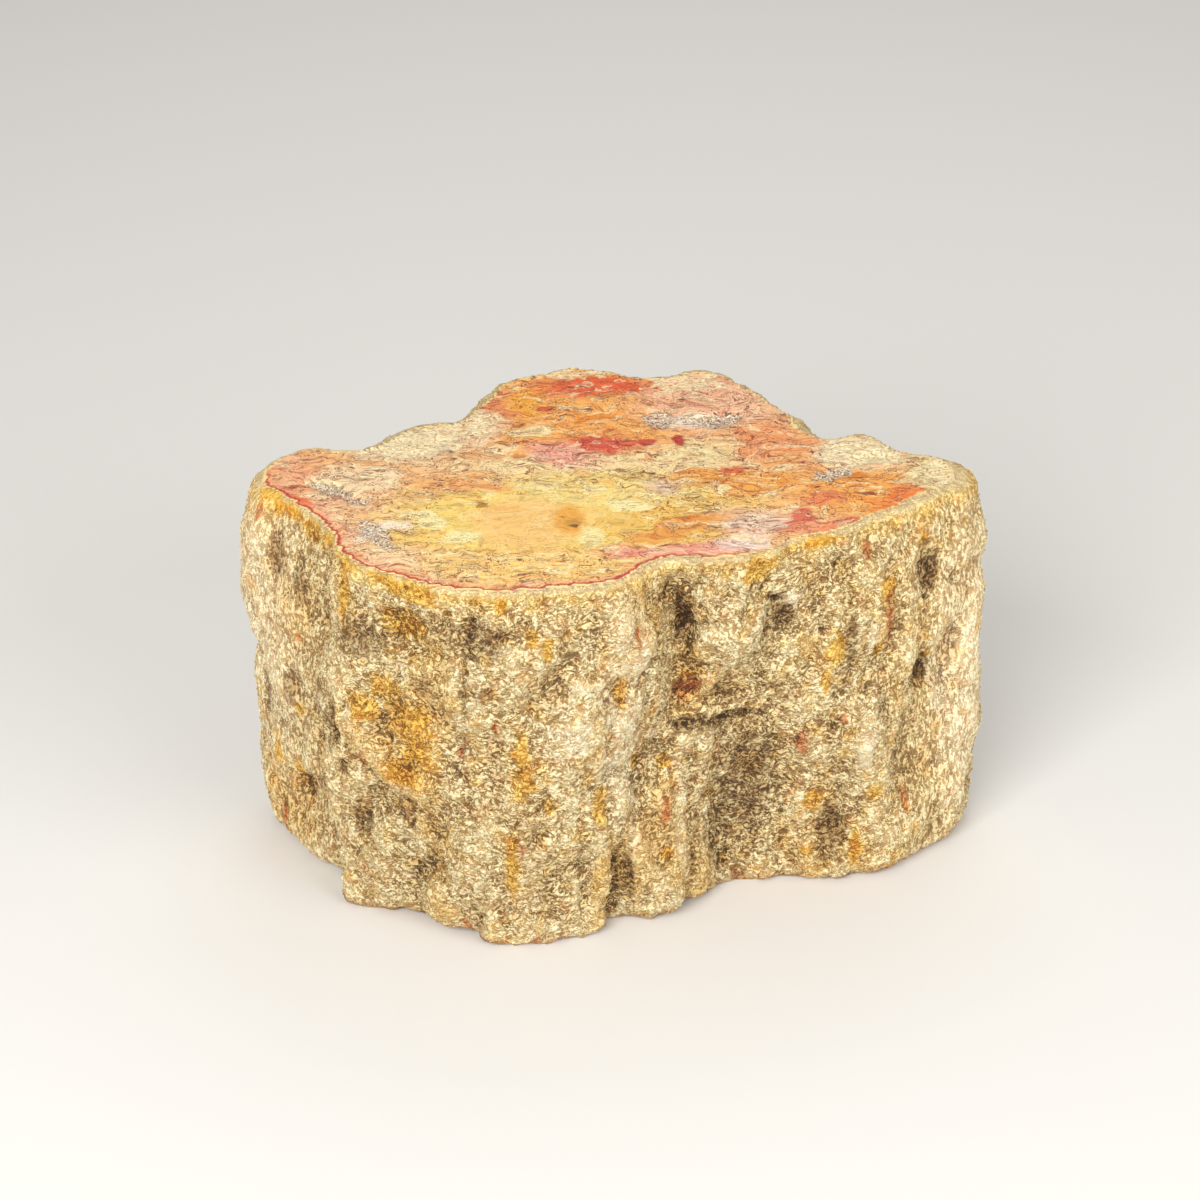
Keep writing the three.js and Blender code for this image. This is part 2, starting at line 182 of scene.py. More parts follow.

# Stains of the bark, and grey painted shade in its hollows, pits and creases: middle, half width, half
# height. Each list is one tint.
OCHRE_STAINS = (
    ((-79, -71, 82), 5.0, 3.8), ((-72, -74, 90), 5.0, 4.7), ((-65, -78, 80), 7.5, 6.6),
    ((-63, -79, 69), 6.7, 5.0), ((-68, -78, 61), 6.3, 4.3), ((-65, -75, 112), 6.0, 5.0),
    ((-108, -23, 127), 3.0, 2.4), ((-96, -38, 126), 4.0, 3.0), ((-85, -64, 119), 2.7, 9.8),
    ((-63, -80, 126), 9.0, 3.4), ((44, -61, 124), 6.5, 4.0), ((-35, -89, 126), 1.7, 2.5),
    ((-26, -90, 116), 2.0, 3.2), ((-21, -90, 112), 1.8, 3.6), ((-112, -24, 38), 2.0, 5.5),
    ((-105, -29, 34), 1.7, 2.6), ((-104, -36, 60), 1.8, 2.6), ((-30, -89, 75), 2.4, 7.9),
    ((-29, -89, 64), 3.4, 5.6), ((-33, -88, 32), 2.0, 11.0), ((-21, -89, 55), 1.8, 3.2),
    ((-5, -83, 51), 2.6, 6.4), ((15, -64, 57), 2.0, 2.6), ((16, -70, 26), 2.2, 2.5),
    ((-111, -18, 129), 4.6, 1.7), ((-104, -27, 128), 6.0, 1.7), ((-90, -50, 128), 6.0, 1.8),
    ((-82, -62, 128), 6.0, 2.0), ((-70, -72, 128), 6.0, 1.8),
    ((6, -71, 61), 2.8, 2.6), ((22, -58, 86), 2.7, 1.4), ((69, -51, 90), 3.2, 6.4),
    ((67, -53, 80), 2.0, 3.6), ((86, -41, 107), 3.2, 4.0), ((84, -44, 87), 1.8, 3.2),
    ((98, -28, 119), 2.2, 4.2), ((101, -25, 75), 1.3, 2.3), ((64, -46, 32), 3.0, 3.6),
    ((84, -46, 35), 2.0, 3.0), ((63, -47, 13), 2.3, 2.1), ((91, -42, 4), 1.8, 1.6),
    ((79, -47, 14), 1.8, 9.0), ((2, -80, 90), 2.6, 4.6), ((60, -48, 128), 8.0, 1.4),
    ((92, 40, 84), 4.0, 12.0), ((62, 62, 52), 6.0, 9.0), ((-30, 84, 96), 9.0, 7.0),
    ((-44, 72, 40), 4.0, 12.0), ((-92, 34, 70), 5.0, 10.0), ((20, 84, 28), 6.0, 6.0),
)
RUST_STAINS = (
    ((16, -69, 41), 1.7, 7.5), ((-30, -88, 38), 1.6, 2.0), ((87, -41, 96), 1.8, 8.0),
    ((79, -43, 122), 1.7, 3.6), ((23, -60, 80), 3.2, 4.4), ((-81, -71, 61), 1.6, 4.3),
    ((-49, -84, 71), 1.2, 2.4), ((-38, -91, 84), 1.2, 2.2), ((-48, -79, 5), 1.7, 2.5),
    ((-26, -85, 3), 1.7, 1.9), ((-47, -84, 24), 0.9, 2.3), ((7, -80, 111), 0.8, 6.8),
    ((60, -50, 57), 2.0, 4.4), ((95, -37, 27), 1.6, 5.4), ((103, -31, 2), 1.7, 1.6),
    ((-112, -21, 10), 1.8, 4.2), ((-114, -19, 124), 1.2, 5.7), ((32, -62, 91), 1.2, 1.5),
    ((29, -60, 84), 1.2, 1.5), ((73, -48, 64), 1.4, 2.0), ((-102, -38, 88), 1.2, 1.7),
    ((74, 52, 88), 1.8, 9.0), ((-8, 86, 60), 2.0, 7.0), ((-66, 52, 96), 2.4, 6.0),
)
PALE_STAINS = (
    ((-1, -81, 66), 3.7, 4.9), ((-9, -86, 97), 6.3, 2.5), ((11, -66, 69), 2.8, 2.1),
    ((-95, -57, 76), 3.4, 2.0), ((81, -46, 92), 1.2, 4.5), ((81, -51, 53), 3.4, 8.6),
    ((5, -75, 36), 1.6, 6.8), ((-68, -70, 18), 1.6, 1.9), ((-14, -89, 80), 7.0, 8.0),
    ((-116, -21, 112), 2.0, 12.0), ((-116, -20, 84), 18.0, 44.0), ((114, -17, 60), 12.0, 44.0),
    ((2, -79, 86), 8.0, 36.0), ((54, -52, 110), 2.6, 2.6),
    ((21, -65, 33), 2.6, 16.0), ((110, 10, 90), 7.0, 14.0), ((30, 84, 88), 8.0, 8.0),
    ((-102, 22, 40), 6.0, 12.0), ((-60, 58, 64), 5.0, 9.0), ((86, 44, 40), 6.0, 9.0),
)
# Grey painted shade in the bark's hollows, pits and creases, not a stain of the stone
GREY_SHADE_IN_HOLLOWS = (
    ((-41, -88, 116), 9.0, 4.0), ((-91, -63, 70), 4.6, 7.0), ((-82, -66, 37), 3.4, 6.6),
    ((42, -47, 40), 9.0, 20.0), ((71, -46, 19), 5.6, 10.0), ((20, -58, 112), 2.4, 9.0),
    ((34, -55, 67), 12.0, 3.0), ((24, -61, 69), 7.0, 3.0), ((4, -73, 19), 2.0, 9.0),
    ((101, -24, 105), 3.2, 7.0), ((99, -24, 69), 2.4, 6.6), ((53, -52, 104), 3.4, 4.6),
    ((-90, -65, 76), 3.6, 5.6), ((-87, -65, 56), 2.4, 3.0), ((-109, -28, 112), 5.0, 6.5),
    ((-101, -37, 107), 3.5, 7.0), ((-94, -56, 76), 4.0, 7.0), ((-116, -16, 56), 1.8, 9.0),
    ((-107, -33, 66), 3.0, 6.0),
    ((-79, -72, 105), 9.0, 5.0), ((-44, -88, 112), 9.0, 4.0), ((74, -49, 92), 2.2, 12.0),
    ((85, -45, 66), 2.0, 9.0), ((-40, -89, 96), 6.0, 3.0), ((-56, -80, 96), 5.0, 4.0),
    ((49, -52, 112), 3.4, 2.4), ((-80, -68, 108), 4.6, 2.4), ((-69, -73, 43), 1.8, 2.6),
)

# Crystal-lined pockets in the sawn face: middle, half length, half width, turn in degrees, depth
CRYSTAL_POCKETS = (
    (-91, -16, 9.0, 3.0, -38, 2.2),
    (-83, -24, 5.0, 2.6, -10, 1.8),
    (-75, -48, 12.0, 3.6, 115, 0.8),
    (14, 38, 5.0, 6.4, 10, 1.4),
    (35, 38, 7.5, 5.0, 20, 2.0),
    (70, -4, 7.0, 4.6, 20, 1.2),
)

# Parts of the sawn face that the polish didn't reach: middle, half width, half depth, roughness in mm
ROUGH_CUTS = (
    (-72, 20, 18, 12, 1.5),
    (-50, 34, 9, 12, 1.3),
    (82, 13, 15, 10, 1.5),
    (106, -2, 8, 14, 0.9),
    (24, 68, 14, 8, 0.9),
    (-18, 76, 16, 5, 0.9),
)

# Wear of the sawn face: where a pocket's wall and a rough part's border run, in half sizes, and their
# unevenness; crystals that stand up in the pockets; chips in the rough parts; and the width of the
# strip inside the edge that stays whole
POCKET_WALL = (0.8, 1.15)
ROUGH_BORDER = (0.6, 1.2)
RAGGED_SIZE = 3.2
RAGGED_SHARE = 0.45
CRYSTAL_SIZE = 2.4
CHIP_SIZES = (3.4, 7)
WHOLE_STRIP = 2

# Crumbs of stone on the bark: their radius in mm, how many to a square metre, and how far they stay
# from the sawn face and from the foot
CRUMB_RADIUS = 0.6
CRUMB_DENSITY = 200000.0
CRUMB_CLEARANCE = 2.0


def smooth_step(low, high, value):
    """0 below low, 1 above high, and a smooth rise between them."""
    share = np.clip((value - low) / (high - low), 0, 1)
    return share * share * (3 - 2 * share)


def waves(points, size, stretch=1.0, offset=0.0):
    """Soft noise from about -1 to 1 at each point, its lumps so many mm across."""
    scaled = points / (size, size, size * stretch) + offset
    return np.array([noise.noise(place) for place in scaled])


def vertex_numbers(mesh, field):
    """The mesh's vertex places or normals as rows of three numbers."""
    flat = np.empty(len(mesh.vertices) * 3, np.float32)
    mesh.vertices.foreach_get(field, flat)
    return flat.reshape(-1, 3).astype(float)


def neighbour_average(points, edges):
    """The mean place of each vertex's neighbours."""
    ends = np.concatenate((edges[:, 0], edges[:, 1]))
    others = np.concatenate((edges[:, 1], edges[:, 0]))
    counts = np.bincount(ends, minlength=len(points))[:, None]
    sums = [np.bincount(ends, points[others, axis], len(points)) for axis in range(3)]
    return np.stack(sums, axis=1) / counts


def within(points, middle, wide, tall, wander):
    """How many half sizes each point lies from a spot's middle, its outline made uneven by wander."""
    return np.linalg.norm((points - middle) / (wide, wide, tall), axis=1) + wander


def stain_and_shade_field(points, stains_and_shade, wander):
    """1 inside each stain or patch of painted shade, falling to 0 past its edge."""
    field = np.zeros(len(points))
    for middle, wide, tall in stains_and_shade:
        field = np.maximum(field, STAIN_AND_SHADE_END - within(points, middle, wide, tall, wander))
    return np.clip(field, 0, 1)


def turned(points, x, y, long_half, short_half, turn):
    """Distance from a turned ellipse's middle on the sawn face, in half sizes."""
    across = points[:, 0] - x
    along = points[:, 1] - y
    angle = math.radians(turn)
    first = (across * math.cos(angle) + along * math.sin(angle)) / long_half
    second = (along * math.cos(angle) - across * math.sin(angle)) / short_half
    return np.hypot(first, second)


def add_attribute(mesh, name, values):
    """Keeps one number for each vertex on the mesh, for the materials."""
    layer = mesh.attributes.new(name, "FLOAT", "POINT")
    layer.data.foreach_set("value", np.asarray(values, np.float32))


def solid_copy():
    """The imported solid's mesh, joined up, with the edges of its two flat cuts marked to stay sharp."""
    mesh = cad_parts[NODE].data.copy()
    shape = bmesh.new()
    shape.from_mesh(mesh)
    bmesh.ops.remove_doubles(shape, verts=shape.verts, dist=JOIN_DISTANCE)
    shape.normal_update()
    crease = shape.edges.layers.float.new("crease_edge")
    for edge in shape.edges:
        sawn = [abs(face.normal.z) > LEVEL_FACET for face in edge.link_faces]
        edge[crease] = float(any(sawn) and not all(sawn))
    shape.to_mesh(mesh)
    shape.free()
    return mesh


def plain_result(piece):
    """The piece's mesh with its modifiers worked in."""
    bpy.context.view_layer.update()
    graph = bpy.context.evaluated_depsgraph_get()
    return bpy.data.meshes.new_from_object(piece.evaluated_get(graph))


def new_piece(name, mesh):
    """An object in the scene, at the origin."""
    piece = bpy.data.objects.new(name, mesh)
    bpy.context.scene.collection.objects.link(piece)
    return piece


def fine_surface():
    """The solid rounded from its facets to an even mesh of small faces."""
    rounded = new_piece("rounding", solid_copy())
    smooth = rounded.modifiers.new("round", "SUBSURF")
    smooth.levels = smooth.render_levels = ROUNDING_LEVELS
    even = rounded.modifiers.new("even", "REMESH")
    even.mode = "VOXEL"
    even.voxel_size = FACE_SIZE * MM
    mesh = plain_result(rounded)
    bpy.data.objects.remove(rounded)
    return mesh


def bark_push(points, wander):
    """How far each point of the bark is moved out."""
    push = np.zeros(len(points))
    for _, middle, wide, tall, out in BARK_RELIEF:
        away = within(points, middle, wide, tall, wander)
        push += out * (1 - smooth_step(RELIEF_FULL, RELIEF_END, away))
    for size, stretch, depth, offset in SCABS:
        push += depth * (SCAB_RISE * np.abs(waves(points, size, stretch, offset)) - SCAB_SINK)
    for size, stretch, depth, offset in WAVES:
        push += depth * waves(points, size, stretch, offset)
    to_cut = np.minimum(TOP - points[:, 2], points[:, 2] * 2)
    calm = CALM_SHARE + (1 - CALM_SHARE) * smooth_step(0, CALM_BAND, to_cut)
    calm *= 1 - CALM_AT_ENDS * smooth_step(ENDS_START, ENDS_FULL, np.abs(points[:, 0]))
    return push * calm


def distance_to_rim(points, edges, top):
    """How far each point of the sawn face lies from that face's edge."""
    rim = points[np.unique(edges[top[edges[:, 0]] != top[edges[:, 1]]])]
    rim = rim[rim[:, 2] > TOP / 2]
    tree = KDTree(len(rim))
    for number, place in enumerate(rim):
        tree.insert(place, number)
    tree.balance()
    distance = np.zeros(len(points))
    distance[top] = [tree.find(place)[2] for place in points[top]]
    return distance


def sawn_wear(points, to_rim):
    """Where the sawn face has pockets, where it is rough, and how deep each point is sunk."""
    pocket = np.zeros(len(points))
    sink = np.zeros(len(points))
    ragged = waves(points, RAGGED_SIZE, 1, 70) * RAGGED_SHARE
    for x, y, long_half, short_half, turn, depth in CRYSTAL_POCKETS:
        away = turned(points, x, y, long_half, short_half, turn) + ragged
        inside = 1 - smooth_step(*POCKET_WALL, away)
        pocket = np.maximum(pocket, inside)
        sink = np.maximum(sink, inside * depth)
    crumbly = np.zeros(len(points))
    for x, y, wide, deep, roughness in ROUGH_CUTS:
        inside = 1 - smooth_step(*ROUGH_BORDER, turned(points, x, y, wide, deep, 0) + ragged)
        crumbly = np.maximum(crumbly, inside * roughness)
    fine_chips = np.maximum(waves(points, CHIP_SIZES[0], 1, 20), 0)
    broad_chips = np.maximum(waves(points, CHIP_SIZES[1], 1, 5), 0)
    crystals = 0.75 + 0.5 * waves(points, CRYSTAL_SIZE, 1, 8)
    depth = sink * crystals + crumbly * (fine_chips + broad_chips)
    return pocket, np.clip(crumbly, 0, 1), depth * smooth_step(0, WHOLE_STRIP, to_rim)


def weather_stone(mesh):
    """Roughens the bark, wears the sawn face, and keeps on the mesh what the materials need to know."""
    points = vertex_numbers(mesh, "co") / MM
    edges = np.empty(len(mesh.edges) * 2, np.int32)
    mesh.edges.foreach_get("vertices", edges)
    edges = edges.reshape(-1, 2)
    up = vertex_numbers(mesh, "normal")[:, 2]
    top = (points[:, 2] > TOP - SAWN_TOLERANCE) & (up > LEVEL_VERTEX)
    foot = (points[:, 2] < SAWN_TOLERANCE) & (up < -LEVEL_VERTEX)
    sawn = top | foot
    for _ in range(SMOOTHING_ROUNDS):
        points = np.where(sawn[:, None], points, (points + neighbour_average(points, edges)) / 2)
    mesh.vertices.foreach_set("co", (points * MM).ravel())
    mesh.update()
    normals = vertex_numbers(mesh, "normal")

    wander = sum(waves(points, size, 1, offset) * share for size, share, offset in UNEVEN_OUTLINES)
    to_rim = distance_to_rim(points, edges, top)
    pocket, crumbly, sink = sawn_wear(points, to_rim)
    rough = points + normals * bark_push(points, wander)[:, None]
    rough[:, 2] = np.clip(rough[:, 2], 0, TOP)
    rough[sawn] = points[sawn]
    rough[top, 2] = TOP - sink[top]
    rough[foot, 2] = 0
    mesh.vertices.foreach_set("co", (rough * MM).ravel())
    mesh.update()

    to_cut = np.minimum(TOP - rough[:, 2], rough[:, 2])
    add_attribute(mesh, "bark", ~sawn)
    add_attribute(mesh, "crumb_room", ~sawn & (to_cut > CRUMB_CLEARANCE))
    add_attribute(mesh, "rim", to_rim)
    add_attribute(mesh, "pocket", pocket * top)
    add_attribute(mesh, "crumbly", crumbly * top)
    smoothed = rough
    # How far each point stands out of its near and wide surroundings, for paler crests and darker hollows:
    # partly dirt, partly painted light and painted shade
    for name, rounds in (("standing_fine", FINE_ROUNDS), ("standing_broad", BROAD_ROUNDS)):
        for _ in range(rounds):
            smoothed = neighbour_average(smoothed, edges)
        standing = np.minimum(np.einsum("ij,ij->i", rough - smoothed, normals), PALEST_CREST)
        add_attribute(mesh, name, np.where(sawn, 0, standing))
    # Stains, and the grey painted shade in the hollows, pits and creases, for the bark material
    for name, stains_and_shade in (
        ("ochre", OCHRE_STAINS),
        ("rust", RUST_STAINS),
        ("pale", PALE_STAINS),
        ("grey", GREY_SHADE_IN_HOLLOWS),
    ):
        add_attribute(mesh, name, stain_and_shade_field(points, stains_and_shade, wander))


def give_materials(mesh, bark, agate, foot):
    """The sawn top is agate, the flat foot is left from the saw, and the rest is bark."""
    mesh.materials.clear()
    for material in (bark, agate, foot):
        mesh.materials.append(material)
    is_bark = np.empty(len(mesh.vertices), np.float32)
    mesh.attributes["bark"].data.foreach_get("value", is_bark)
    for face in mesh.polygons:
        if not is_bark[list(face.vertices)].any():
            face.material_index = 1 if face.center.z / MM > TOP / 2 else 2


def simplify_foot(mesh):
    """The flat foot needs few faces."""
    shape = bmesh.new()
    shape.from_mesh(mesh)
    flat = [face for face in shape.faces if face.material_index == 2]
    bmesh.ops.dissolve_faces(shape, faces=flat, use_verts=False)
    flat = [face for face in shape.faces if face.material_index == 2]
    bmesh.ops.triangulate(shape, faces=flat)
    shape.to_mesh(mesh)
    shape.free()


# Materials

def linear(hex_colour):
    """An sRGB hex colour as linear red, green, blue and alpha."""
    parts = [int(hex_colour[start:start + 2], 16) / 255 for start in (0, 2, 4)]
    return [part / 12.92 if part < 0.04045 else ((part + 0.055) / 1.055) ** 2.4 for part in parts] + [1]


def add(tree, kind, inputs=(), out=0, stops=(), **settings):
    """Adds a node with its settings, inputs and a colour ramp's stops, and returns the output asked for."""
    made = tree.nodes.new(kind)
    for name, value in settings.items():
        setattr(made, name, value)
    for name, value in dict(inputs).items():
        socket = made.inputs[name]
        if isinstance(value, bpy.types.NodeSocket):
            tree.links.new(value, socket)
        else:
            socket.default_value = linear(value) if socket.type == "RGBA" else value
    for number, (position, hex_colour) in enumerate(stops):
        elements = made.color_ramp.elements
        stop = elements[number] if number < len(elements) else elements.new(position)
        stop.position = position
        stop.color = linear(hex_colour)
    return made.outputs[out] if made.outputs else None


def start_material(name, flatten):
    """A material's node tree, and its place in mm. A flattened pattern is the same all the way down."""
    material = bpy.data.materials.new(name)
    material.use_nodes = True
    tree = material.node_tree
    tree.nodes.clear()
    coordinates = add(tree, "ShaderNodeTexCoord", out="Object")
    scale = (1 / MM, 1 / MM, 0 if flatten else 1 / MM)
    place = add(tree, "ShaderNodeVectorMath", {0: coordinates, 1: scale}, operation="MULTIPLY")
    return material, tree, place


def finish_material(tree, settings):
    """The surface shader and the output."""
    shader = add(tree, "ShaderNodeBsdfPrincipled", settings)
    add(tree, "ShaderNodeOutputMaterial", {"Surface": shader})


# The sawn face's own colour, and the zones painted over it in this order: middle, half width, half
# depth, turn, colour
AGATE_BODY = "f6c484"
BROAD_ZONES = (
    (-12, 45, 38, 38, 0, "fab458"),
    (32, 55, 26, 26, 0, "f8c49a"),
    (-68, 20, 20, 15, 10, "f0dcb0"),
    (80, 12, 18, 13, 0, "f4e2b8"),
    (-85, -28, 16, 24, 30, "f8c898"),
    (-62, -66, 22, 10, -35, "f8d4a4"),
    (50, 18, 13, 16, 0, "f4a466"),
    (80, -18, 24, 18, 0, "f8b252"),
    (106, -8, 13, 20, 0, "f2e0a4"),
    (-5, 3, 47, 9, 0, "f8e0a4"),
    (-25, -38, 51, 30, 0, "f6d872"),
    (20, -38, 32, 19, 25, "f4ca62"),
    (-22, -70, 40, 11, 0, "f9d680"),
    (-28, -40, 19, 19, 0, "f5c874"),
    (0, -15, 36, 13, 0, "f4dc84"),
)
PATCHES = (
    (-107, -2, 9, 14, 0, "f6b888"),
    (-84, -8, 15, 9, 0, "f6deb0"),
    (-45, 32, 9, 15, 0, "f4d6aa"),
    (-8, 66, 20, 9, 0, "e86428"),
    (-40, 50, 6, 12, 0, "ee9a5c"),
    (-30, 52, 8, 9, 0, "f6b034"),
    (-6, 18, 14, 7, 0, "de5434"),
    (-18, 9, 13, 7, -30, "f4b096"),
    (-28, 28, 7, 5, 0, "f8dfa0"),
    (-6, 40, 8, 5, 0, "f0982c"),
    (28, 14, 12, 8, 0, "f6e2a4"),
    (56, 6, 9, 5, 40, "f6b268"),
    (40, -8, 20, 8, 0, "f2a840"),
    (16, -14, 7, 6, 0, "e8cca8"),
    (90, -22, 11, 4, 55, "f28a36"),
    (66, -24, 7, 5, 20, "f09458"),
    (42, -40, 12, 12, 30, "f4d8bc"),
    (56, -38, 4, 9, 0, "dc6a4c"),
    (22, -42, 20, 5, 30, "e8a044"),
    (34, -56, 13, 3.5, 12, "f8e6d8"),
    (15, -59, 20, 5, 5, "f0a488"),
    (74, -40, 7, 3, 0, "ea7c4c"),
    (-52, -12, 15, 5, 0, "f4b870"),
    (-65, -21, 8, 3, 0, "eec278"),
    (24, 38, 6, 5, 0, "f4e4cc"),
    (62, -42, 11, 3, 20, "f0a070"),
    (-102, -23, 8, 1.8, -52, "e87a40"),
    (-76, -46, 5, 11, -62, "f6e4c8"),
)
SPOTS = (
    (-24, 46, 3, 2, 0, "e86a34"),
    (21, 21, 2.2, 4.5, 0, "c83820"),
    (10, 20, 3.6, 2.6, 0, "d85030"),
    (38, -2, 4, 2.6, 0, "e4743c"),
    (77, -6, 4.6, 3.4, 0, "e08a20"),
    (-15, -38, 4.6, 10, 0, "ecaa40"),
    (-43, -27, 2.2, 2.2, 0, "b8862c"),
    (-32, 9, 2.2, 2, 0, "d89040"),
    (-48, -50, 6, 4, 0, "f8eca8"),
    (-58, -40, 5, 4, 0, "f8eca8"),
    (-62, -35, 5, 3, 0, "f8eca8"),
    (4, -28, 7, 4, 0, "f8eca8"),
    (-8, -50, 4, 7, 0, "f8e8a0"),
    (-14, -41, 3.0, 2.6, 0, "d09838"),
    (-13.5, -42, 1.6, 1.6, 0, "7a5218"),
    (-17, -36, 0.8, 0.6, 0, "b07c2c"),
)


def paint_zones(tree, place, colour, zones, soft):
    """Paints each zone over the colour, with an edge of that softness."""
    for x, y, wide, deep, turn, hex_colour in zones:
        spot = add(
            tree, "ShaderNodeMapping",
            {
                "Vector": place,
                "Location": (x, y, 0),
                "Rotation": (0, 0, math.radians(turn)),
                "Scale": (wide, deep, 1),
            },
            vector_type="TEXTURE",
        )
        away = add(tree, "ShaderNodeVectorMath", {0: spot}, operation="LENGTH", out="Value")
        share = add(
            tree, "ShaderNodeMapRange", {"Value": away, "From Min": 1 + soft, "From Max": 1 - soft},
            interpolation_type="SMOOTHSTEP",
        )
        colour = add(tree, "ShaderNodeMix", {0: share, 6: colour, 7: hex_colour}, data_type="RGBA", out=2)
    return colour


def warped(tree, place, size, reach):
    """The place moved about by noise, so that outlines drawn on it wander."""
    wander = add(
        tree, "ShaderNodeTexNoise", {"Vector": place, "Scale": 1 / size, "Detail": 2.0}, out="Color",
    )
    centred = add(tree, "ShaderNodeVectorMath", {0: wander, 1: (0.5, 0.5, 0.5)}, operation="SUBTRACT")
    return add(
        tree, "ShaderNodeVectorMath", {0: centred, 1: reach, 2: place},
        operation="MULTIPLY_ADD",
    )


def contour(tree, value, level, width):
    """1 along the line where the value passes the level."""
    off = add(tree, "ShaderNodeMath", {0: value, 1: level}, operation="SUBTRACT")
    away = add(tree, "ShaderNodeMath", {0: off}, operation="ABSOLUTE")
    return add(
        tree, "ShaderNodeMapRange", {"Value": away, "From Min": width, "From Max": 0.0},
        interpolation_type="SMOOTHSTEP",
    )


def marked(tree, colour, marks, least, share, busy, tint):
    """Darkens the colour by the tint where the marks are, less in the calm heart of the face."""
    weight = add(tree, "ShaderNodeMath", {0: busy, 1: share, 2: least}, operation="MULTIPLY_ADD")
    strength = add(tree, "ShaderNodeMath", {0: marks, 1: weight}, operation="MULTIPLY")
    return add(
        tree, "ShaderNodeMix", {0: strength, 6: colour, 7: tint},
        data_type="RGBA", blend_type="MULTIPLY", out=2,
    )


def agate_colour(tree, place):
    """The colours of the sawn face: zones, cream and rust mottling, fine dark outlines and specks."""
    wandering = warped(tree, place, 14, (22, 13, 0))
    wandering = warped(tree, wandering, 4, (9, 5, 0))
    wandering = warped(tree, wandering, 1.4, (3.4, 1.8, 0))
    colour = add(tree, "ShaderNodeRGB")
    colour.default_value = linear(AGATE_BODY)
    colour = paint_zones(tree, wandering, colour, BROAD_ZONES, 0.35)
    colour = paint_zones(tree, wandering, colour, PATCHES, 0.4)

    # The heart is calm: fewer marks there
    heart = add(
        tree, "ShaderNodeMapping", {"Vector": wandering, "Location": (-26, -38, 0), "Scale": (34, 22, 1)},
        vector_type="TEXTURE",
    )
    away = add(tree, "ShaderNodeVectorMath", {0: heart}, operation="LENGTH", out="Value")
    busy = add(
        tree, "ShaderNodeMapRange", {"Value": away, "From Min": 0.5, "From Max": 1.4},
        interpolation_type="SMOOTHSTEP",
    )

    # Mottling, a little longer across than deep
    streaky = add(
        tree, "ShaderNodeMapping",
        {"Vector": wandering, "Scale": (1.7, 1, 1), "Rotation": (0, 0, math.radians(4))},
        vector_type="TEXTURE",
    )
    cloud = add(
        tree, "ShaderNodeTexNoise",
        {"Vector": streaky, "Scale": 1 / 5, "Detail": 7.0, "Roughness": 0.72, "Distortion": 0.4},
    )
    light = add(
        tree, "ShaderNodeMapRange", {"Value": cloud, "From Min": 0.53, "From Max": 0.6},
        interpolation_type="SMOOTHSTEP",
    )
    lightness = add(tree, "ShaderNodeMath", {0: busy, 1: 0.4, 2: 0.3}, operation="MULTIPLY_ADD")
    lit = add(tree, "ShaderNodeMath", {0: light, 1: lightness}, operation="MULTIPLY")
    colour = add(tree, "ShaderNodeMix", {0: lit, 6: colour, 7: "fdf0bc"}, data_type="RGBA", out=2)
    deep = add(
        tree, "ShaderNodeMapRange", {"Value": cloud, "From Min": 0.47, "From Max": 0.36},
        interpolation_type="SMOOTHSTEP",
    )
    colour = marked(tree, colour, deep, 0.3, 0.26, busy, "f4a85c")
    near = warped(tree, warped(tree, place, 4, (5, 5, 0)), 1.5, (2, 2, 0))
    colour = paint_zones(tree, near, colour, SPOTS, 0.3)

    # Thin rust outlines round the cream islands
    islands = add(
        tree, "ShaderNodeTexNoise", {"Vector": streaky, "Scale": 1 / 8, "Detail": 7.0, "Roughness": 0.7},
    )
    colour = marked(tree, colour, contour(tree, islands, 0.5, 0.017), 0.35, 0.6, busy, "8e4c2c")

    # Wisps along the wood's grain, in patches
    along = add(
        tree, "ShaderNodeMapping",
        {"Vector": wandering, "Scale": (2.4, 1, 1), "Rotation": (0, 0, math.radians(-8))},
        vector_type="TEXTURE",
    )
    wisps = add(tree, "ShaderNodeTexNoise", {"Vector": along, "Scale": 1 / 2.8, "Detail": 4.0})
    patchy = add(tree, "ShaderNodeTexNoise", {"Vector": place, "Scale": 1 / 12, "Detail": 2.0})
    where = add(
        tree, "ShaderNodeMapRange", {"Value": patchy, "From Min": 0.4, "From Max": 0.58},
        interpolation_type="SMOOTHSTEP",
    )
    wisp = add(
        tree, "ShaderNodeMath", {0: contour(tree, wisps, 0.56, 0.035), 1: where}, operation="MULTIPLY",
    )
    colour = marked(tree, colour, wisp, 0.2, 0.8, busy, "8c4224")

    # Fine grain, and specks of iron and clay half a millimetre across
    grit = add(tree, "ShaderNodeTexNoise", {"Vector": wandering, "Scale": 1 / 1.1, "Detail": 2.0})
    dusk = add(tree, "ShaderNodeMapRange", {"Value": grit, "From Min": 0.54, "From Max": 0.4})
    colour = marked(tree, colour, dusk, 0.12, 0.25, busy, "c88450")
    speck = add(tree, "ShaderNodeTexNoise", {"Vector": place, "Scale": 1 / 0.8, "Detail": 1.0})
    dark = add(
        tree, "ShaderNodeMapRange", {"Value": speck, "From Min": 0.58, "From Max": 0.64},
        interpolation_type="SMOOTHSTEP",
    )
    crowd = add(
        tree, "ShaderNodeTexNoise", {"Vector": place, "Scale": 1 / 8, "Detail": 3.0, "Roughness": 0.65},
    )
    crowded = add(
        tree, "ShaderNodeMapRange", {"Value": crowd, "From Min": 0.46, "From Max": 0.6},
        interpolation_type="SMOOTHSTEP",
    )
    specks = add(tree, "ShaderNodeMath", {0: dark, 1: crowded}, operation="MULTIPLY")
    return marked(tree, colour, specks, 0.3, 0.6, busy, "74402a")


